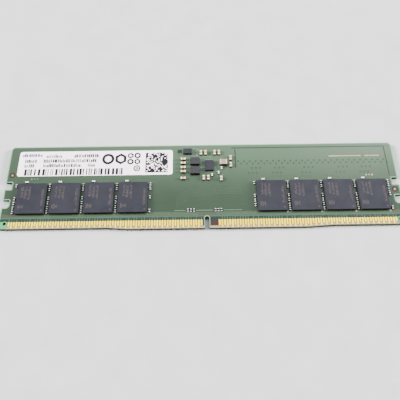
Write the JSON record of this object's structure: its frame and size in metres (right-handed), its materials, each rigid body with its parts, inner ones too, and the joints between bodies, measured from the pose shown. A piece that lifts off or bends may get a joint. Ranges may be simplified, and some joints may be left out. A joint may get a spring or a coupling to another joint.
{
  "type": "memory module",
  "caption": "Desktop memory module: slim green circuit board with memory chips in a row, a small power supply, a paper label and gold edge contacts with an off-centre key notch.",
  "frame": {"origin": "centre of the board's outline, on the plane that the back face rests on", "axes": "+X along the board's length, +Y from the contact edge towards the top edge, +Z out of the component side"},
  "size_m": [0.1334, 0.0312, 0.0025],
  "materials": {
    "laminate": "bare glass laminate, cut edges",
    "solder_mask": "green solder mask, satin gloss",
    "copper": "bare copper, lightly oxidised",
    "gold": "hard gold plating, polished",
    "solder": "tin plating and solder",
    "chip_substrate": "thin dark green substrate, sawn edges",
    "silicon": "bare silicon",
    "moulding": "black epoxy moulding, fine matt grain",
    "capacitor_ceramic": "tan fired ceramic",
    "resistor_body": "black glaze over ceramic",
    "inductor_core": "moulded iron powder, fine grain",
    "label_paper": "coated white label paper"
  },
  "bodies": {
    "root": {"bare_pads": "copper", "bulk_capacitor_bodies": "capacitor_ceramic", "bulk_capacitor_terminals": "solder", "bypass_capacitor_bodies": "capacitor_ceramic", "bypass_capacitor_terminals": "solder", "contacts_back": "gold", "contacts_front": "gold", "ground_plane": "copper", "inductor_lower_core": "inductor_core", "inductor_right_core": "inductor_core", "inductor_terminals": "solder", "inductor_upper_core": "inductor_core", "inductor_windings": "copper", "label": "label_paper", "laminate_back": "laminate", "laminate_core": "laminate", "laminate_front": "laminate", "management_hub_body": "moulding", "management_hub_pads": "solder", "memory_chip_1_balls": "solder", "memory_chip_1_die": "silicon", "memory_chip_1_moulding": "moulding", "memory_chip_1_substrate": "chip_substrate", "memory_chip_2_balls": "solder", "memory_chip_2_die": "silicon", "memory_chip_2_moulding": "moulding", "memory_chip_2_substrate": "chip_substrate", "memory_chip_3_balls": "solder", "memory_chip_3_die": "silicon", "memory_chip_3_moulding": "moulding", "memory_chip_3_substrate": "chip_substrate", "memory_chip_4_balls": "solder", "memory_chip_4_die": "silicon", "memory_chip_4_moulding": "moulding", "memory_chip_4_substrate": "chip_substrate", "memory_chip_5_balls": "solder", "memory_chip_5_die": "silicon", "memory_chip_5_moulding": "moulding", "memory_chip_5_substrate": "chip_substrate", "memory_chip_6_balls": "solder", "memory_chip_6_die": "silicon", "memory_chip_6_moulding": "moulding", "memory_chip_6_substrate": "chip_substrate", "memory_chip_7_balls": "solder", "memory_chip_7_die": "silicon", "memory_chip_7_moulding": "moulding", "memory_chip_7_substrate": "chip_substrate", "memory_chip_8_balls": "solder", "memory_chip_8_die": "silicon", "memory_chip_8_moulding": "moulding", "memory_chip_8_substrate": "chip_substrate", "power_controller_body": "moulding", "power_controller_pads": "solder", "power_plane": "copper", "resistor_bodies": "resistor_body", "resistor_terminals": "solder", "solder_mask_back": "solder_mask", "solder_mask_front": "solder_mask"}
  },
  "joints": []
}
